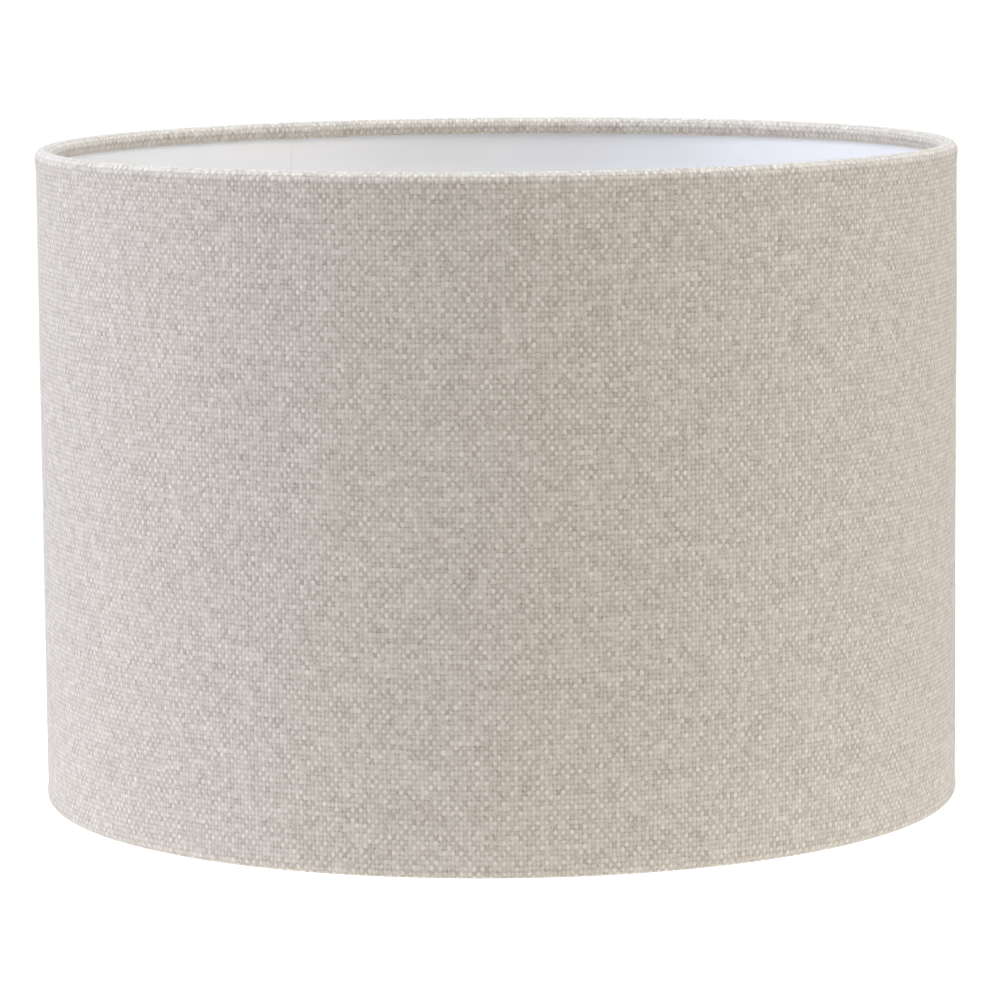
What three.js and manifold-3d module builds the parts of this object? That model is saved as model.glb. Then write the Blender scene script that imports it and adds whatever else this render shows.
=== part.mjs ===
// Drum lamp shade: woven cloth laminated to a white film, rolled over two wire rings, with a
// recessed three-spoke fitter and a loose reducer ring. Millimetres, +Z up, origin at the
// middle of the bottom edge.
import * as THREE from 'three';
import { mergeVertices } from 'three/addons/utils/BufferGeometryUtils.js';
import Module from 'manifold-3d';

const wasm = await Module();
wasm.setup();

// Driving dimensions
const shade = { diameter: 350, height: 250 };
const clearance = 0.3; // gap between pieces that touch
const cloth = { thickness: 0.6 };
const film = { thickness: 0.4, buttGap: 0.6 }; // buttGap: where the film's two ends meet
const lap = { angle: 119, width: 12, rootWidth: 1.2 }; // folded end of the cloth, glued over the other end
const seamTape = { width: 9, thickness: 0.2 };
const wire = { diameter: 4 }; // both edge rings
const ringTape = { thickness: 0.2 };
const spoke = { diameter: 3, count: 3, firstAngle: 90, straightEnd: 7, bend: 6 };
const notch = { sideRoom: 0.8, depthRoom: 0.5 }; // snip in the cloth round each spoke
const fitter = { bore: 42, diameter: 56, plate: 1.2, rimHeight: 5, rimWall: 1.2, height: 30 };
const reducer = { bore: 29, flange: 1.5, spigotDrop: 1, play: 0.5 };

// Fineness: 56 sides put the middle of a flat, not a corner, on the lap seam
const facets = { drum: 56, fitter: 40, wire: 8, spokeSteps: 28 };

// Places worked out from the driving dimensions
const outerRadius = shade.diameter / 2;
const wireRadius = wire.diameter / 2;
const spokeRadius = spoke.diameter / 2;
const tapeInside = wireRadius + clearance;
const tapeOutside = tapeInside + ringTape.thickness;
const rollInside = tapeOutside + clearance;
const rollOutside = rollInside + cloth.thickness;
const ringRadius = outerRadius - rollOutside; // centre of the wire
const filmOuter = outerRadius - cloth.thickness - clearance;
const filmInner = filmOuter - film.thickness;
const filmBottom = rollOutside + rollInside;
const straightWall = shade.height - 2 * rollOutside;
const fitterRadius = fitter.diameter / 2;

const radians = THREE.MathUtils.degToRad;

// How much nearer the axis the middle of a flat is than its corners, on a ring with this many sides
const flatShare = (sides) => Math.cos(Math.PI / sides);

const materials = {
  linen: new THREE.MeshStandardMaterial({ color: 0xc8c0b4, roughness: 0.95, metalness: 0 }),
  film: new THREE.MeshStandardMaterial({ color: 0xf1f0ec, roughness: 0.45, metalness: 0 }),
  tape: new THREE.MeshStandardMaterial({ color: 0xe9e4d6, roughness: 0.6, metalness: 0 }),
  coatedSteel: new THREE.MeshStandardMaterial({ color: 0xbcbcb8, roughness: 0.35, metalness: 0 }),
  plastic: new THREE.MeshStandardMaterial({ color: 0xf4f3ee, roughness: 0.5, metalness: 0 }),
};

// Turns a closed profile of [radius, height] points, listed anticlockwise, round the Z axis
function turned(profile, sides) {
  const points = [...profile, profile[0]].map(([radius, height]) => new THREE.Vector2(radius, height));
  return new THREE.LatheGeometry(points, sides).rotateX(Math.PI / 2);
}

function asSolid(geometry) {
  const bare = geometry.clone();
  bare.deleteAttribute('normal');
  bare.deleteAttribute('uv');
  const merged = mergeVertices(bare);
  const mesh = new wasm.Mesh({
    numProp: 3,
    vertProperties: new Float32Array(merged.attributes.position.array),
    triVerts: new Uint32Array(merged.index.array),
  });
  return new wasm.Manifold(mesh);
}

function asGeometry(solid) {
  const mesh = solid.getMesh();
  const geometry = new THREE.BufferGeometry();
  geometry.setAttribute('position', new THREE.BufferAttribute(new Float32Array(mesh.vertProperties), 3));
  geometry.setIndex([...mesh.triVerts]);
  geometry.computeVertexNormals();
  return geometry;
}

const cut = (geometry, tools) =>
  asGeometry(tools.reduce((solid, tool) => solid.subtract(asSolid(tool)), asSolid(geometry)));

const join = (geometry, piece) => asGeometry(asSolid(geometry).add(asSolid(piece)));

// A box that reaches from one radius to another at an angle round the shade
function radialBox(angle, [innerRadius, outerEnd], width, [bottom, top]) {
  const box = new THREE.BoxGeometry(outerEnd - innerRadius, width, top - bottom);
  box.translate((innerRadius + outerEnd) / 2, 0, (bottom + top) / 2);
  return box.rotateZ(radians(angle));
}

// Corners of an eight-sided outline whose flats are `reach` from the wire's centre, walked from
// the outer wall, under the wire and up its inner side to the raw edge, tucked in over the wire
function rollCorners(reach) {
  const corners = [-22.5, -67.5, -112.5, -157.5, -202.5].map((angle) => [angle, 22.5]);
  corners.push([-236.25, 11.25]); // the raw edge
  return corners.map(([angle, halfTurn]) => {
    const distance = reach / Math.cos(radians(halfTurn));
    return [
      ringRadius + distance * Math.cos(radians(angle)),
      rollOutside + distance * Math.sin(radians(angle)),
    ];
  });
}

const flipped = (points) => points.map(([radius, height]) => [radius, shade.height - height]);

// The cloth goes up the outer wall and round each wire, where its raw edge is tucked in next to the film
function coverProfile() {
  const outside = rollCorners(rollOutside);
  const inside = rollCorners(rollInside);
  return [...outside.toReversed(), ...flipped(outside), ...flipped(inside).toReversed(), ...inside];
}

// The folded end of the cloth stands off the wall by the thickness of the tape under it
function lapTongue() {
  const wallRadius = outerRadius * flatShare(facets.drum);
  const tongueInner = wallRadius + 2 * clearance + seamTape.thickness;
  const tongueOuter = tongueInner + cloth.thickness;
  const half = lap.width / 2;
  const outline = new THREE.Shape([
    new THREE.Vector2(wallRadius - cloth.thickness / 2, -half),
    new THREE.Vector2(tongueOuter, -half),
    new THREE.Vector2(tongueOuter, half),
    new THREE.Vector2(tongueInner, half),
    new THREE.Vector2(tongueInner, -half + lap.rootWidth),
    new THREE.Vector2(wallRadius - cloth.thickness / 2, -half + lap.rootWidth),
  ]);
  const tongue = new THREE.ExtrudeGeometry(outline, { depth: straightWall, bevelEnabled: false });
  return tongue.translate(0, 0, rollOutside).rotateZ(radians(lap.angle));
}

const spokeAngles = Array.from(
  { length: spoke.count },
  (unused, index) => spoke.firstAngle + (index * 360) / spoke.count,
);

// One snip in the bottom roll and its tape at each spoke, open at the raw edge
function spokeNotches() {
  const width = spoke.diameter + 2 * notch.sideRoom;
  const bottom = rollOutside - spokeRadius - notch.depthRoom;
  const reach = [ringRadius - rollOutside - notch.sideRoom, filmInner - clearance / 2];
  return spokeAngles.map((angle) => radialBox(angle, reach, width, [bottom, filmBottom + clearance]));
}

function linenCover() {
  const drum = turned(coverProfile(), facets.drum);
  return cut(join(drum, lapTongue()), spokeNotches());
}

function filmLiner() {
  const top = shade.height - filmBottom;
  const profile = [[filmInner, filmBottom], [filmOuter, filmBottom], [filmOuter, top], [filmInner, top]];
  const slot = radialBox(
    lap.angle,
    [filmInner - 2 * clearance, outerRadius],
    film.buttGap,
    [filmBottom - clearance, top + clearance],
  );
  return cut(turned(profile, facets.drum), [slot]);
}

function lapTape() {
  const inner = outerRadius * flatShare(facets.drum) + clearance;
  const middle = lap.rootWidth / 2;
  const tape = new THREE.BoxGeometry(seamTape.thickness, seamTape.width, straightWall);
  return tape.translate(inner + seamTape.thickness / 2, middle, shade.height / 2).rotateZ(radians(lap.angle));
}

function wireRing() {
  const corners = Array.from({ length: facets.wire }, (unused, index) => {
    const angle = (2 * Math.PI * (index + 0.5)) / facets.wire;
    const distance = wireRadius / flatShare(facets.wire);
    return [ringRadius + distance * Math.cos(angle), rollOutside + distance * Math.sin(angle)];
  });
  return turned(corners, facets.drum);
}

// The tape goes round the wire but leaves its side towards the film bare
function wireTape() {
  return turned([...rollCorners(tapeOutside).reverse(), ...rollCorners(tapeInside)], facets.drum);
}

const atTop = (geometry) => geometry.rotateX(Math.PI).translate(0, 0, shade.height);

// A straight end at the ring, a slope up to the fitter, and a straight end at its rim
function spokeWire(angle) {
  const ringEnd = (ringRadius - wireRadius) * flatShare(facets.drum) - clearance;
  const rimEnd = fitterRadius + clearance;
  const rimMiddle = fitter.height + fitter.rimHeight / 2;
  const at = (radius, height) => new THREE.Vector3(radius, 0, height);
  const lower = at(ringEnd - spoke.straightEnd, rollOutside);
  const upper = at(rimEnd + spoke.straightEnd, rimMiddle);
  const slope = upper.clone().sub(lower).normalize().multiplyScalar(spoke.bend);
  const lowerBendEnd = lower.clone().add(slope);
  const upperBendStart = upper.clone().sub(slope);
  const path = new THREE.CurvePath();
  path.add(new THREE.LineCurve3(at(ringEnd, rollOutside), at(lower.x + spoke.bend, rollOutside)));
  path.add(new THREE.QuadraticBezierCurve3(at(lower.x + spoke.bend, rollOutside), lower, lowerBendEnd));
  path.add(new THREE.LineCurve3(lowerBendEnd, upperBendStart));
  path.add(new THREE.QuadraticBezierCurve3(upperBendStart, upper, at(upper.x - spoke.bend, rimMiddle)));
  path.add(new THREE.LineCurve3(at(upper.x - spoke.bend, rimMiddle), at(rimEnd, rimMiddle)));
  const corners = new THREE.EllipseCurve(0, 0, spokeRadius, spokeRadius).getPoints(facets.wire);
  const section = new THREE.Shape(corners.slice(0, -1));
  const sweep = { steps: facets.spokeSteps, bevelEnabled: false, extrudePath: path };
  return new THREE.ExtrudeGeometry(section, sweep).rotateZ(radians(angle));
}

// A flat washer with its outer edge turned up
function fitterRing() {
  const bore = fitter.bore / 2;
  const rimInside = fitterRadius - fitter.rimWall;
  const plateTop = fitter.height + fitter.plate;
  const rimTop = fitter.height + fitter.rimHeight;
  return turned([
    [bore, fitter.height],
    [fitterRadius, fitter.height],
    [fitterRadius, rimTop],
    [rimInside, rimTop],
    [rimInside, plateTop],
    [bore, plateTop],
  ], facets.fitter);
}

// A flange that lies in the fitter's rim and a spigot that fills its bore
function reducerRing() {
  const bore = reducer.bore / 2;
  const spigot = (fitter.bore / 2) * flatShare(facets.fitter) - reducer.play;
  const flange = (fitterRadius - fitter.rimWall) * flatShare(facets.fitter) - reducer.play;
  const seat = fitter.height + fitter.plate + clearance;
  const bottom = fitter.height - reducer.spigotDrop;
  return turned([
    [bore, bottom],
    [spigot, bottom],
    [spigot, seat],
    [flange, seat],
    [flange, seat + reducer.flange],
    [bore, seat + reducer.flange],
  ], facets.fitter);
}

const lampShade = new THREE.Group();

function addPiece(name, geometry, material) {
  const piece = new THREE.Mesh(geometry, material);
  piece.name = name;
  lampShade.add(piece);
}

addPiece('linen_cover', linenCover(), materials.linen);
addPiece('film_liner', filmLiner(), materials.film);
addPiece('seam_tape', lapTape(), materials.tape);
addPiece('top_ring', atTop(wireRing()), materials.coatedSteel);
addPiece('top_ring_tape', atTop(wireTape()), materials.tape);
addPiece('bottom_ring', wireRing(), materials.coatedSteel);
addPiece('bottom_ring_tape', cut(wireTape(), spokeNotches()), materials.tape);
spokeAngles.forEach((angle, index) => {
  addPiece(`spoke_${index + 1}`, spokeWire(angle), materials.coatedSteel);
});
addPiece('fitter_ring', fitterRing(), materials.coatedSteel);
addPiece('reducer_ring', reducerRing(), materials.plastic);

export default lampShade;
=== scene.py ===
import math

import bmesh
import bpy
from mathutils import Euler, Matrix, Vector


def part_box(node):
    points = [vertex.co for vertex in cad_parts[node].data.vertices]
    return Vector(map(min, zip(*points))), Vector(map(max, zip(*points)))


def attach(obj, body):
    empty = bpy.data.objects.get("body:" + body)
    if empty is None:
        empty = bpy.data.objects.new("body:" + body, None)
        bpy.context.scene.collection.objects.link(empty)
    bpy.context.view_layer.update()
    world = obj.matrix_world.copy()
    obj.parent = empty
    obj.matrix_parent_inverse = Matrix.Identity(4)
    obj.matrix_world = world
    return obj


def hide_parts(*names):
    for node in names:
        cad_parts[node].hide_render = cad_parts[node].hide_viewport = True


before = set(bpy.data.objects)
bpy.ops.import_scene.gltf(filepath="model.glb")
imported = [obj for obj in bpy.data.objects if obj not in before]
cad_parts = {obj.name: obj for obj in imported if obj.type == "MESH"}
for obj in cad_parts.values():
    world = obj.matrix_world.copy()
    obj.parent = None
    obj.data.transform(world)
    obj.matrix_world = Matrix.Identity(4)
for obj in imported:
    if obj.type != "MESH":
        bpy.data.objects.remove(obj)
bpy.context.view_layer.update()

mm = 0.001

# Places read from the frame: the cloth gives the outside, the bottom wire gives the ring
coverLow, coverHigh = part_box("linen_cover")
wireLow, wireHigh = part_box("bottom_ring")
outerRadius = coverHigh[0]
shadeHeight = coverHigh[2] - coverLow[2]
wireRadius = (wireHigh[2] - wireLow[2]) / 2
ringRadius = wireHigh[0] - wireRadius  # middle of the wire
ringHeight = (wireHigh[2] + wireLow[2]) / 2  # middle of the bottom wire
seamAngle = math.radians(119)  # behind and to the left
sharpAngle = math.radians(40)  # edges sharper than this stay sharp


def fromHex(code):
    channels = [int(code[i:i + 2], 16) / 255 for i in (1, 3, 5)]
    linear = [c / 12.92 if c <= 0.04045 else ((c + 0.055) / 1.055) ** 2.4 for c in channels]
    return (*linear, 1.0)


# Each input takes a value, a socket, or a node, which stands for its first output
def addNode(tree, kind, settings=None, links=None):
    node = tree.nodes.new(kind)
    for name, value in (settings or {}).items():
        setattr(node, name, value)
    for name, value in (links or {}).items():
        socket = node.inputs[name]
        if isinstance(value, bpy.types.Node):
            value = value.outputs[0]
        if isinstance(value, bpy.types.NodeSocket):
            tree.links.new(value, socket)
        else:
            socket.default_value = value
    return node


def doMath(tree, operation, *values):
    return addNode(tree, "ShaderNodeMath", {"operation": operation}, dict(enumerate(values)))


def doVector(tree, operation, *values):
    return addNode(tree, "ShaderNodeVectorMath", {"operation": operation}, dict(enumerate(values)))


def scaleVector(tree, vector, amount):
    return addNode(tree, "ShaderNodeVectorMath", {"operation": "SCALE"}, {0: vector, "Scale": amount})


def addNoise(tree, vector, grain, detail, roughness=0.5, dimensions="3D"):
    noise = addNode(tree, "ShaderNodeTexNoise", {"noise_dimensions": dimensions}, {
        "Vector": vector, "Scale": 1 / grain, "Detail": detail, "Roughness": roughness})
    return noise.outputs["Fac"]


def newMaterial(name, shader):
    material = bpy.data.materials.new(name)
    material.use_nodes = True
    tree = material.node_tree
    tree.nodes.clear()
    surface = addNode(tree, "ShaderNodeBsdfPrincipled", None, shader)
    addNode(tree, "ShaderNodeOutputMaterial", None, {"Surface": surface.outputs["BSDF"]})
    return material, tree, surface


def tint(tree, surface, amount, first, second):
    colour = addNode(tree, "ShaderNodeMix", {"data_type": "RGBA"}, {
        0: amount, 6: fromHex(first), 7: fromHex(second)})
    tree.links.new(colour.outputs[2], surface.inputs["Base Color"])


def emboss(tree, surface, height, depth):
    bump = addNode(tree, "ShaderNodeBump", None, {"Height": height, "Distance": depth, "Strength": 1.0})
    tree.links.new(bump.outputs[0], surface.inputs["Normal"])


def newTree(name, inputs):
    tree = bpy.data.node_groups.new(name, "GeometryNodeTree")
    for label, kind in inputs.items():
        tree.interface.new_socket(label, in_out="INPUT", socket_type="NodeSocket" + kind)
    tree.interface.new_socket("Geometry", in_out="OUTPUT", socket_type="NodeSocketGeometry")
    return tree, tree.nodes.new("NodeGroupInput").outputs


def closeTree(tree, geometry, material):
    realized = addNode(tree, "GeometryNodeRealizeInstances", None, {"Geometry": geometry})
    painted = addNode(tree, "GeometryNodeSetMaterial", None, {"Geometry": realized, "Material": material})
    addNode(tree, "NodeGroupOutput", None, {"Geometry": painted})


# A drawn curve with its corners rounded
def roundCorners(tree, source, steps, radius):
    drawn = addNode(tree, "GeometryNodeObjectInfo", None, {"Object": source})
    return addNode(tree, "GeometryNodeFilletCurve", {"mode": "POLY"}, {
        "Curve": drawn.outputs["Geometry"], "Count": steps, "Radius": radius, "Limit Radius": True})


def repeatRound(tree, piece, count, firstAngle=0.0):
    number = addNode(tree, "GeometryNodeInputIndex")
    part = doMath(tree, "DIVIDE", math.tau, count)
    angle = doMath(tree, "MULTIPLY_ADD", number, part, firstAngle)
    facing = addNode(tree, "ShaderNodeCombineXYZ", None, {2: angle})
    row = addNode(tree, "GeometryNodeMeshLine", None, {"Count": count, "Offset": (0, 0, 0)})
    return addNode(tree, "GeometryNodeInstanceOnPoints", None, {
        "Points": row, "Instance": piece, "Rotation": facing})


def cornerCurve(name, corners, closed=False):
    curve = bpy.data.curves.new(name, "CURVE")
    curve.dimensions = "3D"
    spline = curve.splines.new("POLY")
    spline.points.add(len(corners) - 1)
    for point, (x, y, z) in zip(spline.points, corners):
        point.co = (x, y, z, 1)
    spline.use_cyclic_u = closed
    drawn = bpy.data.objects.new(name, curve)
    bpy.context.scene.collection.objects.link(drawn)
    return drawn


def plainMesh(piece):
    evaluated = piece.evaluated_get(bpy.context.evaluated_depsgraph_get())
    mesh = bpy.data.meshes.new_from_object(evaluated)
    piece.modifiers.clear()
    piece.data = mesh
    mesh.name = piece.name


def grow(name, tree, values, finish=None):
    piece = bpy.data.objects.new(name, bpy.data.meshes.new(name))
    bpy.context.scene.collection.objects.link(piece)
    modifier = piece.modifiers.new("nodes", "NODES")
    modifier.node_group = tree
    for item in tree.interface.items_tree:
        if item.in_out == "INPUT":
            modifier[item.identifier] = values[item.name]
    for label, kind, settings in finish or []:
        extra = piece.modifiers.new(label, kind)
        for key, value in settings.items():
            setattr(extra, key, value)
    plainMesh(piece)
    for value in values.values():
        if isinstance(value, bpy.types.Object) and value.type == "CURVE":
            bpy.data.objects.remove(value)
    piece.data.materials.clear()
    piece.data.materials.append(values["Material"])
    piece.data.polygons.foreach_set("material_index", [0] * len(piece.data.polygons))
    piece.data.shade_smooth()
    piece.data.set_sharp_from_angle(angle=sharpAngle)
    print(name, len(piece.data.polygons), "faces")
    return piece


camera = {
    "lens": 180.77,
    "distance": 1916.3 * mm,  # from the axis of the shade
    "height": 364.6 * mm,
    "pitch": 7.495,
    "roll": 0.533,
    "aside": 0.26 * mm,
}
eye = bpy.data.objects.new("camera", bpy.data.cameras.new("camera"))
eye.data.lens = camera["lens"]
eye.data.sensor_width = 36
eye.location = (camera["aside"], -camera["distance"], camera["height"])
turn = Euler((math.radians(90 - camera["pitch"]), 0, 0)).to_matrix()
turn @= Matrix.Rotation(math.radians(-camera["roll"]), 3, "Z")
eye.rotation_euler = turn.to_euler()
bpy.context.scene.collection.objects.link(eye)
bpy.context.scene.camera = eye
bpy.context.scene.view_settings.view_transform = "Standard"
print("camera set")

lights = {
    "left": {"at": (-2.6, -0.5, 0.9), "size": (1.6, 1.8), "power": 50, "colour": "#E3ECFF"},
    "leftFar": {"at": (-3.0, 0.6, 0.5), "size": (1.2, 1.2), "power": 27, "colour": "#D9E0FF"},
    "right": {"at": (2.5, -1.2, 1.0), "size": (1.4, 1.4), "power": 31, "colour": "#FFFAEB"},
    "rightFar": {"at": (3.0, 0.3, 0.5), "size": (1.2, 1.2), "power": 11.5, "colour": "#D0D8FF"},
    "top": {"at": (0.0, 0.0, 2.6), "size": (1.6, 1.6), "power": 88, "colour": "#EAF5FF"},
}
for name, light in lights.items():
    lamp = bpy.data.lights.new(name, "AREA")
    lamp.shape = "RECTANGLE"
    lamp.size, lamp.size_y = light["size"]
    lamp.energy = light["power"]
    lamp.color = fromHex(light["colour"])[:3]
    box = bpy.data.objects.new(name, lamp)
    box.location = light["at"]
    aim = Vector((0, 0, shadeHeight / 2)) - box.location
    box.rotation_euler = aim.to_track_quat("-Z", "Y").to_euler()
    bpy.context.scene.collection.objects.link(box)

daylight = {"colour": "#F7F4FF", "strength": 0.388}
room = bpy.data.worlds.new("room")
bpy.context.scene.world = room
room.use_nodes = True
background = room.node_tree.nodes["Background"].inputs
background["Color"].default_value = fromHex(daylight["colour"])
background["Strength"].default_value = daylight["strength"]

# Floor that glows with no lamp beneath it, a painted glow: one even white on which nothing throws a hard
# shadow, with a painted pool of brighter glow under and round the shade
floorGlow = {"core": 0.15, "edge": 0.55, "glowPoolUnderShade": 1.4, "elsewhere": 1.0, "radius": 24}
glowFloorMaterial, glowFloorTree, glowFloorSurface = newMaterial("backlitOpalAcrylic", {
    "Base Color": fromHex("#404040"), "Roughness": 0.9, "Specular IOR Level": 0.0,
    "Emission Color": fromHex("#FFFFFF")})
spread = addNode(glowFloorTree, "ShaderNodeTexCoord").outputs["Object"]
spread = doVector(glowFloorTree, "LENGTH", spread).outputs["Value"]
# painted pool of light: the floor glows brighter under and round the shade than elsewhere
glow = addNode(glowFloorTree, "ShaderNodeMapRange", {"interpolation_type": "SMOOTHSTEP"}, {
    "Value": spread, "From Min": floorGlow["core"], "From Max": floorGlow["edge"],
    "To Min": floorGlow["glowPoolUnderShade"], "To Max": floorGlow["elsewhere"]})
glowFloorTree.links.new(glow.outputs[0], glowFloorSurface.inputs["Emission Strength"])
underside = addNode(glowFloorTree, "ShaderNodeNewGeometry").outputs["Backfacing"]  # clear when seen from beneath
clear = addNode(glowFloorTree, "ShaderNodeBsdfTransparent")
oneSided = addNode(glowFloorTree, "ShaderNodeMixShader", None, {0: underside, 1: glowFloorSurface, 2: clear})
glowFloorTree.links.new(oneSided.outputs[0], glowFloorTree.nodes["Material Output"].inputs["Surface"])

floorMesh = bpy.data.meshes.new("floor")
sheet = bmesh.new()
bmesh.ops.create_circle(sheet, cap_ends=True, segments=96, radius=floorGlow["radius"])
sheet.to_mesh(floorMesh)
sheet.free()
floorMesh.materials.append(glowFloorMaterial)
floor = bpy.data.objects.new("floor", floorMesh)
bpy.context.scene.collection.objects.link(floor)
print("lights and floor set")

# Linen-look cloth, plain woven from slubby yarn. The crowns of the floats are painted lighter, a painted
# highlight, the upright floats' more than the level ones', so bright floats alternate with duller ones; the
# gaps hold painted grey-brown shade, and a few flecks of straw show
linenWeave = {
    "warpSpacing": 1.51 * mm,  # upright threads
    "weftSpacing": 1.80 * mm,  # threads that go round
    "relief": 0.19 * mm,
    "wander": 0.5,  # how far a thread strays, in threads
    "strayAcross": 5 * mm, "strayAlong": 45 * mm,  # neighbours stray together, and slowly along the thread
    "slubLength": 8 * mm, "threadStep": 7.31,  # the step sets each thread's slubs apart
    "fibreSize": 0.7 * mm, "gapPatch": 1.3 * mm,
    "warpCrownHighlight": 0.26, "weftCrownHighlight": 0.0,  # painted highlight on the crowns of each kind of float
    "slub": 0.52, "mottle": 0.24, "fibre": 0.22,
    "gapShade": 0.3,  # how dark the painted shade in the gaps is
    "pale": "#DAD2C7",
    # the dark end of the tone: darker yarn, and the painted shade in the gaps and at the float sides
    "darkYarnAndShade": "#8A8174",
    "fleck": "#7A6E60",
}


def makeLinen(sizes):
    material, tree, surface = newMaterial("plainWeaveLinen", {
        "Roughness": 0.92, "IOR": 1.5, "Specular IOR Level": 0.25,
        "Sheen Weight": 0.08, "Sheen Roughness": 0.6, "Sheen Tint": fromHex("#FFFFFF"),
    })
    sheet = addNode(tree, "ShaderNodeUVMap", {"uv_map": "clothSheet"}).outputs[0]

    # Threads stray a little to either side, each at its own pace
    stretch = doVector(tree, "MULTIPLY", sheet, (1 / sizes["strayAcross"], 1 / sizes["strayAlong"], 0))
    strayX = addNoise(tree, stretch, 1.0, 2.0, 0.5, "2D")
    stretch = doVector(tree, "MULTIPLY", sheet, (1 / sizes["strayAlong"], 1 / sizes["strayAcross"], 0))
    strayY = addNoise(tree, stretch, 1.0, 2.0, 0.5, "2D")
    stray = addNode(tree, "ShaderNodeCombineXYZ", None, {0: strayX, 1: strayY})
    stray = scaleVector(tree, stray, sizes["wander"])
    count = doVector(tree, "DIVIDE", sheet, (sizes["warpSpacing"], sizes["weftSpacing"], 1))
    count = doVector(tree, "ADD", count, stray)

    # Which thread of each kind, and how far from its middle
    which = doVector(tree, "FLOOR", count)
    place = doVector(tree, "FRACTION", count)
    place = doVector(tree, "SUBTRACT", place, (0.5, 0.5, 0))
    place = scaleVector(tree, place, math.pi)
    crown = doVector(tree, "COSINE", place)
    thread = addNode(tree, "ShaderNodeSeparateXYZ", None, {0: which})
    crown = addNode(tree, "ShaderNodeSeparateXYZ", None, {0: crown})
    order = doMath(tree, "ADD", thread.outputs[0], thread.outputs[1])
    order = doMath(tree, "FLOORED_MODULO", order, 2.0)
    over = doMath(tree, "MULTIPLY_ADD", order, -2.0, 1.0)

    # Height of the upright and of the level thread; the higher one shows
    warpLift = doMath(tree, "MULTIPLY", over, crown.outputs[1])
    weftLift = doMath(tree, "MULTIPLY", over, crown.outputs[0])
    warpTop = doMath(tree, "ADD", warpLift, crown.outputs[0])
    weftTop = doMath(tree, "SUBTRACT", crown.outputs[1], weftLift)
    height = doMath(tree, "SMOOTH_MAX", warpTop, weftTop, 0.3)
    height = doMath(tree, "MULTIPLY", height, 0.5)
    warpShows = doMath(tree, "GREATER_THAN", warpTop, weftTop)

    # Every thread has its own tone and its slubs
    slide = doVector(tree, "MULTIPLY", sheet, (0, 1 / sizes["slubLength"], 0))
    slide = doVector(tree, "MULTIPLY_ADD", which, (sizes["threadStep"], 0, 0), slide)
    warpSlub = addNoise(tree, slide, 1.0, 3.0, 0.6, "2D")
    slide = doVector(tree, "MULTIPLY", sheet, (1 / sizes["slubLength"], 0, 0))
    slide = doVector(tree, "MULTIPLY_ADD", which, (0, sizes["threadStep"], 0), slide)
    weftSlub = addNoise(tree, slide, 1.0, 3.0, 0.6, "2D")
    slub = addNode(tree, "ShaderNodeMix", {"data_type": "FLOAT"}, {
        0: warpShows, 2: weftSlub, 3: warpSlub})

    # A float's crown is painted lighter than its sides, a painted highlight; single floats differ, and
    # loose fibres cross them
    eachFloat = addNode(tree, "ShaderNodeTexWhiteNoise", {"noise_dimensions": "2D"}, {"Vector": which})
    fibre = addNoise(tree, sheet, sizes["fibreSize"], 2.0, 0.6, "2D")
    dot = doMath(tree, "MULTIPLY", crown.outputs[0], crown.outputs[1])
    crownHighlight = addNode(tree, "ShaderNodeMapRange", None, {
        "Value": over, "From Min": -1.0, "To Min": sizes["weftCrownHighlight"], "To Max": sizes["warpCrownHighlight"]})
    middling = 0.2 * (sizes["warpCrownHighlight"] + sizes["weftCrownHighlight"])  # what the parts below add on average
    middling += (sizes["slub"] + sizes["mottle"] + sizes["fibre"]) / 2
    # painted highlight: each float's crown is lightened, the upright floats' more than the level ones'
    tone = doMath(tree, "MULTIPLY_ADD", dot, crownHighlight, 0.5 - middling)
    tone = doMath(tree, "MULTIPLY_ADD", slub, sizes["slub"], tone)
    tone = doMath(tree, "MULTIPLY_ADD", eachFloat.outputs["Value"], sizes["mottle"], tone)
    tone = doMath(tree, "MULTIPLY_ADD", fibre, sizes["fibre"], tone)

    # Openings at the corners of the floats are darkened with painted shade, wide in some places and shut in
    # others
    gap = doVector(tree, "SINE", place)
    gap = doVector(tree, "ABSOLUTE", gap)
    gap = addNode(tree, "ShaderNodeSeparateXYZ", None, {0: gap})
    gap = doMath(tree, "MULTIPLY", gap.outputs[0], gap.outputs[1])
    gap = addNode(tree, "ShaderNodeMapRange", {"interpolation_type": "SMOOTHSTEP"}, {
        "Value": gap, "From Min": 0.15, "From Max": 0.95})
    loose = addNoise(tree, sheet, sizes["gapPatch"], 1.0, 0.5, "2D")
    loose = addNode(tree, "ShaderNodeMapRange", None, {
        "Value": loose, "From Min": 0.42, "From Max": 0.72, "To Max": sizes["gapShade"]})
    gap = doMath(tree, "MULTIPLY", gap, loose)
    # painted shade: the gaps are darkened in colour
    tone = doMath(tree, "SUBTRACT", tone, gap)
    cloth = addNode(tree, "ShaderNodeMix", {"data_type": "RGBA"}, {
        0: tone, 6: fromHex(sizes["darkYarnAndShade"]), 7: fromHex(sizes["pale"])})

    # About one float in fifty holds a fleck
    fleck = addNode(tree, "ShaderNodeMapRange", None, {
        "Value": eachFloat.outputs["Value"], "From Min": 0.975, "From Max": 0.99,
        "To Min": 0.0, "To Max": 0.6})
    fleck = doMath(tree, "MULTIPLY", fleck, dot)
    flecked = addNode(tree, "ShaderNodeMix", {"data_type": "RGBA"}, {
        0: fleck, 6: cloth.outputs[2], 7: fromHex(sizes["fleck"])})
    tree.links.new(flecked.outputs[2], surface.inputs["Base Color"])
    emboss(tree, surface, height, sizes["relief"])
    return material


linen = makeLinen(linenWeave)


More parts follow.
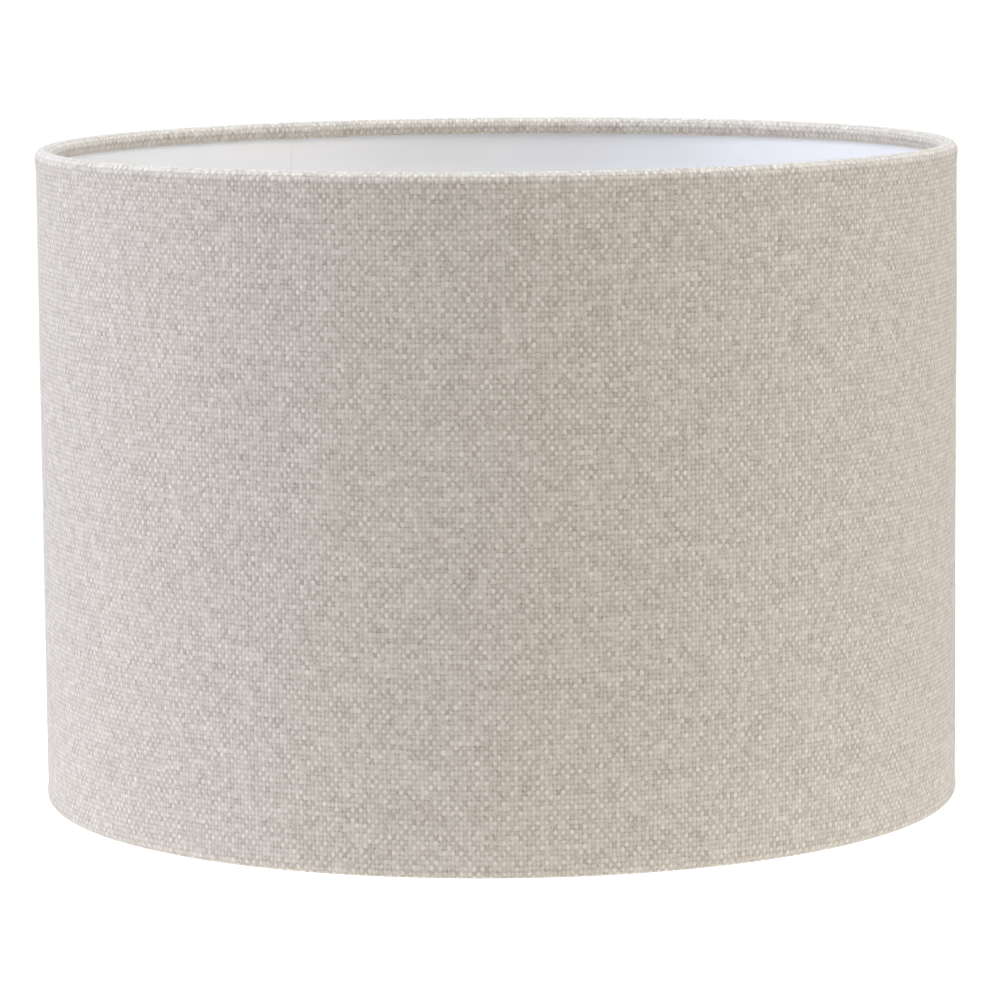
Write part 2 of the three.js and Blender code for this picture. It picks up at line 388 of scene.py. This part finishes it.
# White PVC lining film, calendered and lightly embossed: smooth and half matt, almost no pattern
def makeFilm():
    material, tree, surface = newMaterial("embossedLiningFilm", {"Roughness": 0.42, "IOR": 1.53})
    place = addNode(tree, "ShaderNodeUVMap", {"uv_map": "clothSheet"}).outputs[0]
    cloud = addNoise(tree, place, 40 * mm, 2.0)
    tint(tree, surface, cloud, "#E6E5E4", "#ECECEC")
    grain = addNoise(tree, place, 0.8 * mm, 2.0)
    emboss(tree, surface, grain, 0.03 * mm)
    return material


film = makeFilm()


# Paper tape, creped and coated with adhesive: matt, cream, with fine creases across it whose hollows are
# painted darker, a painted shade
def makeTape():
    material, tree, surface = newMaterial("crepedPaperTape", {"Roughness": 0.75, "IOR": 1.5})
    place = addNode(tree, "ShaderNodeTexCoord").outputs["Object"]
    crease = addNoise(tree, place, 0.9 * mm, 3.0)
    # painted shade: the colour follows the crease height, darker in the hollows and lighter on the ridges
    tint(tree, surface, crease, "#DDD5C2", "#EFE9DA")
    emboss(tree, surface, crease, 0.08 * mm)
    return material


tape = makeTape()


# Powder-coated steel wire and sheet: light grey, satin, with the faint orange peel of the baked coat
def makeCoatedSteel():
    material, tree, surface = newMaterial("powderCoatedSteel", {"Roughness": 0.34, "IOR": 1.5})
    place = addNode(tree, "ShaderNodeTexCoord").outputs["Object"]
    peel = addNoise(tree, place, 0.7 * mm, 1.5)
    rub = addNoise(tree, place, 7 * mm, 3.0)
    tint(tree, surface, rub, "#B8B8B4", "#C1C1BE")
    gloss = addNode(tree, "ShaderNodeMapRange", None, {"Value": rub, "To Min": 0.28, "To Max": 0.42})
    tree.links.new(gloss.outputs[0], surface.inputs["Roughness"])
    emboss(tree, surface, peel, 0.03 * mm)
    return material


coatedSteel = makeCoatedSteel()


# Polypropylene, injection moulded in a spark-eroded tool: milky white with a fine even grain
def makePolypropylene():
    material, tree, surface = newMaterial("mouldedPolypropylene", {
        "Roughness": 0.45, "IOR": 1.49, "Subsurface Weight": 0.15, "Subsurface Scale": 1.5 * mm})
    place = addNode(tree, "ShaderNodeTexCoord").outputs["Object"]
    grain = addNoise(tree, place, 0.35 * mm, 2.0)
    flow = addNoise(tree, place, 12 * mm, 2.0)
    tint(tree, surface, flow, "#ECEBE4", "#F5F4EF")
    emboss(tree, surface, grain, 0.02 * mm)
    return material


polypropylene = makePolypropylene()
print("materials made")

windShape = {
    "ramp": 8 * mm,  # over this length the sheet climbs on to its own start
    "fold": 1.2 * mm, "foldDepth": 0.7,  # the very end is pressed down, by this share of the step
    "rollEnd": 6 * mm, "wallStart": 10 * mm,  # between these heights the roll passes into the wall
    "driftLength": 70 * mm, "driftRoughness": 0.4,
}


# A flat sheet wound once round the shade. The profile curve is its cross section: x outwards
# from the wall, y downwards. The last stretch rises over the first, and its end is pressed down.
def makeWindTree():
    tree, sizes = newTree("windSheet", {
        "Profile": "Object", "Corner Radius": "Float", "Corner Steps": "Int", "Spacing": "Float",
        "Wall Radius": "Float", "Start Angle": "Float", "Length": "Float", "Sections": "Int",
        "End Length": "Float", "End Sections": "Int", "Lap": "Float", "Wall Step": "Float",
        "Roll Step": "Float", "Height": "Float", "Half Thickness": "Float", "Unevenness": "Float",
        "Material": "Material",
    })
    profile = roundCorners(tree, sizes["Profile"], sizes["Corner Steps"], sizes["Corner Radius"])
    point = addNode(tree, "GeometryNodeInputIndex")
    following = doMath(tree, "ADD", point, 1.0)
    here = addNode(tree, "GeometryNodeInputPosition")
    there = addNode(tree, "GeometryNodeFieldAtIndex", {"data_type": "FLOAT_VECTOR"}, {
        "Index": following, "Value": here})
    reach = doVector(tree, "DISTANCE", here, there)
    cuts = doMath(tree, "DIVIDE", reach.outputs["Value"], sizes["Spacing"])
    profile = addNode(tree, "GeometryNodeSubdivideCurve", None, {"Curve": profile, "Cuts": cuts})
    step = addNode(tree, "GeometryNodeSplineParameter")
    profile = addNode(tree, "GeometryNodeStoreNamedAttribute", {"data_type": "FLOAT"}, {
        "Geometry": profile, "Name": "across", "Value": step.outputs["Length"]})

    # The way round: even sections, then close ones over the lap
    sections = doMath(tree, "ADD", sizes["Sections"], sizes["End Sections"])
    total = doMath(tree, "ADD", sections, 1.0)
    mainLength = doMath(tree, "SUBTRACT", sizes["Length"], sizes["End Length"])
    mainWay = addNode(tree, "ShaderNodeMapRange", None, {
        "Value": point, "From Min": 0.0, "From Max": sizes["Sections"],
        "To Min": 0.0, "To Max": mainLength})
    endWay = addNode(tree, "ShaderNodeMapRange", None, {
        "Value": point, "From Min": sizes["Sections"], "From Max": sections,
        "To Min": 0.0, "To Max": sizes["End Length"]})
    way = doMath(tree, "ADD", mainWay, endWay)
    angle = doMath(tree, "DIVIDE", way, sizes["Wall Radius"])
    angle = doMath(tree, "ADD", angle, sizes["Start Angle"])
    x = doMath(tree, "COSINE", angle)
    y = doMath(tree, "SINE", angle)
    spot = addNode(tree, "ShaderNodeCombineXYZ", None, {0: x, 1: y})
    spot = scaleVector(tree, spot, sizes["Wall Radius"])
    row = addNode(tree, "GeometryNodeMeshLine", None, {"Count": total})
    path = addNode(tree, "GeometryNodeMeshToCurve", None, {"Mesh": row})
    path = addNode(tree, "GeometryNodeSetPosition", None, {"Geometry": path, "Position": spot})
    path = addNode(tree, "GeometryNodeStoreNamedAttribute", {"data_type": "FLOAT"}, {
        "Geometry": path, "Name": "along", "Value": way})
    path = addNode(tree, "GeometryNodeSetCurveNormal", {"mode": "Z_UP"}, {"Curve": path})
    wound = addNode(tree, "GeometryNodeCurveToMesh", None, {"Curve": path, "Profile Curve": profile})

    # Over the lap the sheet stands off the wall, and less over the rolls, where it is pressed flat
    along = addNode(tree, "GeometryNodeInputNamedAttribute", {"data_type": "FLOAT"}, {"Name": "along"})
    lapStart = doMath(tree, "SUBTRACT", sizes["Length"], sizes["Lap"])
    rampStart = doMath(tree, "SUBTRACT", lapStart, windShape["ramp"])
    lifted = addNode(tree, "ShaderNodeMapRange", {"interpolation_type": "SMOOTHSTEP"}, {
        "Value": along, "From Min": rampStart, "From Max": lapStart})
    foldStart = doMath(tree, "SUBTRACT", sizes["Length"], windShape["fold"])
    folded = addNode(tree, "ShaderNodeMapRange", {"interpolation_type": "SMOOTHSTEP"}, {
        "Value": along, "From Min": foldStart, "From Max": sizes["Length"],
        "To Max": windShape["foldDepth"]})
    lifted = doMath(tree, "SUBTRACT", lifted, folded)
    underEnd = doMath(tree, "ADD", sizes["Lap"], windShape["ramp"])
    under = addNode(tree, "ShaderNodeMapRange", {"interpolation_type": "SMOOTHSTEP"}, {
        "Value": along, "From Min": sizes["Lap"], "From Max": underEnd, "To Min": 1.0, "To Max": 0.0})
    at = addNode(tree, "ShaderNodeSeparateXYZ", None, {0: here})
    middle = doMath(tree, "MULTIPLY", sizes["Height"], 0.5)
    lower = doMath(tree, "SUBTRACT", at.outputs[2], middle)
    lower = doMath(tree, "ABSOLUTE", lower)
    fromEnd = doMath(tree, "SUBTRACT", middle, lower)
    rolled = addNode(tree, "ShaderNodeMapRange", {"interpolation_type": "SMOOTHSTEP"}, {
        "Value": fromEnd, "From Min": windShape["rollEnd"], "From Max": windShape["wallStart"],
        "To Min": 1.0, "To Max": 0.0})
    rise = addNode(tree, "ShaderNodeMix", {"data_type": "FLOAT"}, {
        0: rolled, 2: sizes["Wall Step"], 3: sizes["Roll Step"]})
    rise = doMath(tree, "MULTIPLY", rise, lifted)
    press = doMath(tree, "MULTIPLY", rolled, sizes["Roll Step"])
    press = doMath(tree, "MULTIPLY", press, under)
    rise = doMath(tree, "SUBTRACT", rise, press)
    outward = addNode(tree, "GeometryNodeInputNormal")
    lapMove = scaleVector(tree, outward, rise)

    # Nothing hand-wound is a true circle
    drift = addNoise(tree, here, windShape["driftLength"], 1.0, windShape["driftRoughness"])
    drift = doMath(tree, "SUBTRACT", drift, 0.5)
    drift = doMath(tree, "MULTIPLY", drift, sizes["Unevenness"])
    level = doVector(tree, "MULTIPLY", here, (1, 1, 0))
    level = doVector(tree, "NORMALIZE", level)
    driftMove = scaleVector(tree, level, drift)
    move = doVector(tree, "ADD", lapMove, driftMove)
    wound = addNode(tree, "GeometryNodeSetPosition", None, {"Geometry": wound, "Offset": move})
    ceiling = doMath(tree, "SUBTRACT", sizes["Height"], sizes["Half Thickness"])
    kept = addNode(tree, "ShaderNodeClamp", None, {
        "Value": at.outputs[2], "Min": sizes["Half Thickness"], "Max": ceiling})
    kept = addNode(tree, "ShaderNodeCombineXYZ", None, {0: at.outputs[0], 1: at.outputs[1], 2: kept})
    wound = addNode(tree, "GeometryNodeSetPosition", None, {"Geometry": wound, "Position": kept})

    across = addNode(tree, "GeometryNodeInputNamedAttribute", {"data_type": "FLOAT"}, {"Name": "across"})
    unrolled = addNode(tree, "ShaderNodeCombineXYZ", None, {0: along, 1: across})
    wound = addNode(tree, "GeometryNodeStoreNamedAttribute", {"data_type": "FLOAT2", "domain": "CORNER"}, {
        "Geometry": wound, "Name": "clothSheet", "Value": unrolled})
    closeTree(tree, wound, sizes["Material"])
    return tree


windTree = makeWindTree()


# A closed profile turned round the axis, with ribs laid on it where they are asked for
def makeTurnTree():
    tree, sizes = newTree("turnProfile", {
        "Profile": "Object", "Corner Radius": "Float", "Corner Steps": "Int", "Ring Radius": "Float",
        "Sections": "Int", "Ribs": "Int", "Rib Radius": "Float", "Rib Height": "Float",
        "Rib Size": "Vector", "Material": "Material",
    })
    profile = roundCorners(tree, sizes["Profile"], sizes["Corner Steps"], sizes["Corner Radius"])
    path = addNode(tree, "GeometryNodeCurvePrimitiveCircle", None, {
        "Resolution": sizes["Sections"], 4: sizes["Ring Radius"]})
    path = addNode(tree, "GeometryNodeSetCurveNormal", {"mode": "Z_UP"}, {"Curve": path})
    turned = addNode(tree, "GeometryNodeCurveToMesh", None, {"Curve": path, "Profile Curve": profile})

    rib = addNode(tree, "GeometryNodeMeshCube", None, {"Size": sizes["Rib Size"]})
    spot = addNode(tree, "ShaderNodeCombineXYZ", None, {0: sizes["Rib Radius"], 2: sizes["Rib Height"]})
    rib = addNode(tree, "GeometryNodeSetPosition", None, {"Geometry": rib, "Offset": spot})
    ribs = repeatRound(tree, rib, sizes["Ribs"])
    both = addNode(tree, "GeometryNodeJoinGeometry", None, {0: turned})
    tree.links.new(ribs.outputs[0], both.inputs[0])
    closeTree(tree, both, sizes["Material"])
    return tree


turnTree = makeTurnTree()


# One bent wire, thicker where the weld at each end spreads, repeated round the axis
def makeSpokeTree():
    tree, sizes = newTree("bentSpokes", {
        "Path": "Object", "Bend Radius": "Float", "Bend Steps": "Int", "Spacing": "Float",
        "Wire Radius": "Float", "Sides": "Int", "Weld Length": "Float", "Weld Spread": "Float",
        "Spokes": "Int", "First Angle": "Float", "Material": "Material",
    })
    path = roundCorners(tree, sizes["Path"], sizes["Bend Steps"], sizes["Bend Radius"])
    path = addNode(tree, "GeometryNodeResampleCurve", {"mode": "LENGTH"}, {
        "Curve": path, "Length": sizes["Spacing"]})
    step = addNode(tree, "GeometryNodeSplineParameter")
    total = addNode(tree, "GeometryNodeCurveLength", None, {"Curve": path})
    left = doMath(tree, "SUBTRACT", total, step.outputs["Length"])
    near = doMath(tree, "MINIMUM", left, step.outputs["Length"])
    weld = addNode(tree, "ShaderNodeMapRange", {"interpolation_type": "SMOOTHSTEP"}, {
        "Value": near, "From Min": 0.0, "From Max": sizes["Weld Length"],
        "To Min": sizes["Weld Spread"], "To Max": 1.0})
    section = addNode(tree, "GeometryNodeCurvePrimitiveCircle", None, {
        "Resolution": sizes["Sides"], 4: sizes["Wire Radius"]})
    wire = addNode(tree, "GeometryNodeCurveToMesh", None, {
        "Curve": path, "Profile Curve": section,
        "Scale": weld, "Fill Caps": True})
    closeTree(tree, repeatRound(tree, wire, sizes["Spokes"], sizes["First Angle"]), sizes["Material"])
    return tree


spokeTree = makeSpokeTree()
print("node trees built")

spokes = {
    "radius": 1.5 * mm, "count": 3, "firstAngle": math.radians(90),
    "straightEnd": 7 * mm, "bendRadius": 9 * mm, "weldLength": 2.4 * mm, "weldSpread": 1.55,
    "intoRing": 0.5 * mm, "intoRim": 0.3 * mm,  # how deep the welded ends sit in
}
snip = {
    "bottomWidth": 4.0 * mm, "topWidth": 5.0 * mm, "top": 7.5 * mm, "room": 0.5 * mm,
    "innerEnd": ringRadius - 5 * mm, "outerEnd": 174.0 * mm, "arcSteps": 12,
}


# The roll is snipped at each spoke: round under the wire, and a little wider at the raw edge
def makeSnips():
    build = bmesh.new()
    lowest = ringHeight - spokes["radius"] - snip["room"]
    half, halfTop, steps = snip["bottomWidth"] / 2, snip["topWidth"] / 2, snip["arcSteps"]
    angles = [math.radians(180 + 180 / steps * k) for k in range(steps + 1)]
    outline = [(half * math.cos(a), lowest + half * (1 + math.sin(a))) for a in angles]
    outline += [(halfTop, snip["top"]), (-halfTop, snip["top"])]
    for index in range(spokes["count"]):
        turnBy = Matrix.Rotation(spokes["firstAngle"] + index * math.tau / spokes["count"], 3, "Z")
        rings = [[build.verts.new(turnBy @ Vector((x, y, z))) for y, z in outline]
                 for x in (snip["innerEnd"], snip["outerEnd"])]
        build.faces.new(rings[0])
        build.faces.new(reversed(rings[1]))
        for k in range(len(outline)):
            build.faces.new((rings[0][k], rings[1][k], rings[1][k - 1], rings[0][k - 1]))
    bmesh.ops.recalc_face_normals(build, faces=build.faces)
    mesh = bpy.data.meshes.new("snips")
    build.to_mesh(mesh)
    build.free()
    cutter = bpy.data.objects.new("snips", mesh)
    bpy.context.scene.collection.objects.link(cutter)
    return cutter


cover = {
    "thickness": 0.6 * mm,
    "lap": 12 * mm,
    "rollRadius": 3.1 * mm,
    "tuck": 114,  # where the raw edge ends, in degrees round the wire from its outer side
    "proud": 0.35 * mm,  # how far the rolls stand out from the wall
    "shoulder": 0.6 * mm, "fade": 4 * mm,  # from the wire's middle, where that starts to fade and is gone
    "wallStep": 1.0 * mm, "rollStep": 0.22 * mm,  # how far the lap lies over its own start
}
unevenness = 0.7 * mm  # shared by the cloth, the film and the tape, so that they keep together
snips = makeSnips()
cutSnips = ("snips", "BOOLEAN", {"object": snips, "operation": "DIFFERENCE", "solver": "MANIFOLD"})


# The cloth goes up the wall and round each wire, and its raw edge is tucked in next to the film
def coverCorners(sizes, height):
    roll, half, end = sizes["rollRadius"], sizes["thickness"] / 2, math.radians(sizes["tuck"])
    tucked = (roll * (math.cos(end) - 1), ringHeight + roll * math.sin(end))
    bend = ringHeight + roll * math.tan((math.pi - end) / 2)  # the raw edge's tangent meets the inner side
    bottom = [
        tucked, (-2 * roll, bend), (-2 * roll, half), (sizes["proud"], half),
        (sizes["proud"], ringHeight + sizes["shoulder"]), (0, ringHeight + sizes["fade"]),
    ]
    top = [(x, height - z) for x, z in bottom]
    return [(x, -z, 0) for x, z in top + bottom[::-1]]


def makeCover():
    wallRadius = outerRadius - cover["thickness"] / 2
    return grow("linenCover", windTree, {
        "Profile": cornerCurve("coverProfile", coverCorners(cover, shadeHeight)),
        "Corner Radius": cover["rollRadius"], "Corner Steps": 5, "Spacing": 9 * mm,
        "Wall Radius": wallRadius, "Start Angle": seamAngle - cover["lap"] / 2 / wallRadius,
        "Length": math.tau * wallRadius + cover["lap"],
        "Sections": 380, "End Length": 24 * mm, "End Sections": 26, "Lap": cover["lap"],
        "Wall Step": cover["wallStep"], "Roll Step": cover["rollStep"], "Height": shadeHeight,
        "Half Thickness": cover["thickness"] / 2, "Unevenness": unevenness, "Material": linen,
    }, [("thickness", "SOLIDIFY", {"thickness": cover["thickness"], "offset": 0.0}), cutSnips])


linenCover = makeCover()

# What the film and the tape share: a flat profile, and no lap of their own
flatBand = {
    "Corner Radius": 0.0, "Corner Steps": 1, "Spacing": 12 * mm, "Lap": 0.0, "Wall Step": 0.0,
    "Roll Step": 0.0, "Height": shadeHeight, "Half Thickness": 0.0, "Unevenness": unevenness,
}
lining = {"thickness": 0.3 * mm, "outside": 0.65 * mm, "gap": 0.1 * mm, "edge": 6.2 * mm}


def makeLiner():
    middle = outerRadius - lining["outside"] - lining["thickness"] / 2
    corners = [(0, lining["edge"] - shadeHeight, 0), (0, -lining["edge"], 0)]
    return grow("filmLiner", windTree, {
        **flatBand, "Profile": cornerCurve("linerProfile", corners), "Wall Radius": middle,
        "Start Angle": seamAngle + lining["gap"] / 2 / middle,
        "Length": math.tau * middle - lining["gap"],
        "Sections": 360, "End Length": 6 * mm, "End Sections": 4, "Material": film,
    }, [("thickness", "SOLIDIFY", {"thickness": lining["thickness"], "offset": 0.0})])


filmLiner = makeLiner()

lapTape = {"width": 9 * mm, "thickness": 0.2 * mm, "aside": 0.6 * mm, "standOff": 0.05 * mm}


def makeSeamTape():
    middle = outerRadius + lapTape["standOff"] + lapTape["thickness"] / 2
    corners = [(0, ringHeight - shadeHeight, 0), (0, -ringHeight, 0)]
    return grow("seamTape", windTree, {
        **flatBand, "Profile": cornerCurve("tapeProfile", corners), "Wall Radius": middle,
        "Start Angle": seamAngle + (lapTape["aside"] - lapTape["width"] / 2) / middle,
        "Length": lapTape["width"],
        "Sections": 4, "End Length": 2 * mm, "End Sections": 2, "Material": tape,
    }, [("thickness", "SOLIDIFY", {"thickness": lapTape["thickness"], "offset": 0.0})])


seamTape = makeSeamTape()


def turnRing(name, corners, cornerRadius, radius, sections, material, finish=None, ribs=None):
    outline = [(r - radius, -z, 0) for r, z in reversed(corners)]
    values = {
        "Profile": cornerCurve(name + "Profile", outline, True),
        "Corner Radius": cornerRadius, "Corner Steps": 4, "Ring Radius": radius, "Sections": sections,
        "Ribs": 0, "Rib Radius": 0.0, "Rib Height": 0.0, "Rib Size": (mm, mm, mm), "Material": material,
    }
    return grow(name, turnTree, {**values, **(ribs or {})}, finish)


edgeWire = {"sides": 16, "sections": 240}
ringTape = {"inside": 2.1 * mm, "outside": 2.4 * mm, "firstAngle": -22, "lastAngle": -236, "steps": 18}


def makeEdgeRing(name, height):
    angles = [math.tau * k / edgeWire["sides"] for k in range(edgeWire["sides"])]
    corners = [(ringRadius + wireRadius * math.cos(a), height + wireRadius * math.sin(a)) for a in angles]
    return turnRing(name, corners, 0.0, ringRadius, edgeWire["sections"], coatedSteel)


def makeRingTape(name, height, up, finish=None):
    first, last, steps = ringTape["firstAngle"], ringTape["lastAngle"], ringTape["steps"]
    angles = [math.radians(first + (last - first) * k / steps) for k in range(steps + 1)]
    way = [(ringTape["inside"], a) for a in angles] + [(ringTape["outside"], a) for a in reversed(angles)]
    if up < 0:
        way.reverse()
    corners = [(ringRadius + d * math.cos(a), height + up * d * math.sin(a)) for d, a in way]
    return turnRing(name, corners, 0.0, ringRadius, edgeWire["sections"], tape, finish)


topHeight = shadeHeight - ringHeight
bottomRing = makeEdgeRing("bottomRing", ringHeight)
topRing = makeEdgeRing("topRing", topHeight)
bottomRingTape = makeRingTape("bottomRingTape", ringHeight, 1, [cutSnips])
topRingTape = makeRingTape("topRingTape", topHeight, -1)
bpy.data.objects.remove(snips)

fitterLow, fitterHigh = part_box("fitter_ring")
fitter = {
    "bore": 21 * mm, "plate": 1.2 * mm, "wall": 1.2 * mm, "edge": 0.55 * mm,
    "outside": fitterHigh[0], "bottom": fitterLow[2], "top": fitterHigh[2],
}


def makeFitterRing():
    inside, floorTop = fitter["outside"] - fitter["wall"], fitter["bottom"] + fitter["plate"]
    return turnRing("fitterRing", [
        (fitter["bore"], fitter["bottom"]), (fitter["outside"], fitter["bottom"]),
        (fitter["outside"], fitter["top"]), (inside, fitter["top"]),
        (inside, floorTop), (fitter["bore"], floorTop),
    ], fitter["edge"], fitter["outside"], 96, coatedSteel)


fitterRing = makeFitterRing()


def makeSpokes():
    rimMiddle = (fitter["bottom"] + fitter["plate"] + fitter["top"]) / 2
    ringEnd = ringRadius - wireRadius + spokes["intoRing"]
    rimEnd = fitter["outside"] - spokes["intoRim"]
    path = [
        (ringEnd, 0, ringHeight), (ringEnd - spokes["straightEnd"], 0, ringHeight),
        (rimEnd + spokes["straightEnd"], 0, rimMiddle), (rimEnd, 0, rimMiddle),
    ]
    return grow("fitterSpokes", spokeTree, {
        "Path": cornerCurve("spokePath", path), "Bend Radius": spokes["bendRadius"], "Bend Steps": 8,
        "Spacing": 0.8 * mm, "Wire Radius": spokes["radius"], "Sides": 14,
        "Weld Length": spokes["weldLength"], "Weld Spread": spokes["weldSpread"],
        "Spokes": spokes["count"], "First Angle": spokes["firstAngle"], "Material": coatedSteel,
    })


fitterSpokes = makeSpokes()

reducerLow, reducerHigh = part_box("reducer_ring")
reducer = {
    "bore": 14.5 * mm, "spigot": 20.4 * mm, "flange": reducerHigh[0], "bottom": reducerLow[2],
    "seat": reducerHigh[2] - 1.5 * mm, "top": reducerHigh[2], "dish": 0.6 * mm, "edge": 0.35 * mm,
    "outerRim": 1.6 * mm, "innerRim": 2.0 * mm, "slope": 0.2 * mm,  # the rims that stand round the dish
    "ribs": 6, "ribWidth": 1.0 * mm, "ribHeight": 0.7 * mm, "ribLift": 0.1 * mm, "ribEnds": 3.4 * mm,
}


def makeReducer():
    r = reducer
    dished = r["top"] - r["dish"]
    return turnRing("reducerRing", [
        (r["bore"], r["bottom"]), (r["spigot"], r["bottom"]), (r["spigot"], r["seat"]),
        (r["flange"], r["seat"]), (r["flange"], r["top"]), (r["flange"] - r["outerRim"], r["top"]),
        (r["flange"] - r["outerRim"] - r["slope"], dished),
        (r["bore"] + r["innerRim"] + r["slope"], dished),
        (r["bore"] + r["innerRim"], r["top"]), (r["bore"], r["top"]),
    ], r["edge"], r["flange"], 96, polypropylene, None, {
        "Ribs": r["ribs"], "Rib Radius": (r["flange"] + r["bore"]) / 2, "Rib Height": dished + r["ribLift"],
        "Rib Size": (r["flange"] - r["bore"] - r["ribEnds"], r["ribWidth"], r["ribHeight"]),
    })


reducerRing = makeReducer()

for piece, body, nodes, finish in (
    (linenCover, "shade", ["linen_cover"], "linen"),
    (filmLiner, "shade", ["film_liner"], "liner_film"),
    (seamTape, "shade", ["seam_tape"], "adhesive_tape"),
    (topRing, "shade", ["top_ring"], "coated_steel"),
    (topRingTape, "shade", ["top_ring_tape"], "adhesive_tape"),
    (bottomRing, "shade", ["bottom_ring"], "coated_steel"),
    (bottomRingTape, "shade", ["bottom_ring_tape"], "adhesive_tape"),
    (fitterSpokes, "shade", ["spoke_1", "spoke_2", "spoke_3"], "coated_steel"),
    (fitterRing, "shade", ["fitter_ring"], "coated_steel"),
    (reducerRing, "reducer", ["reducer_ring"], "moulded_plastic"),
):
    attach(piece, body)
    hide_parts(*nodes)
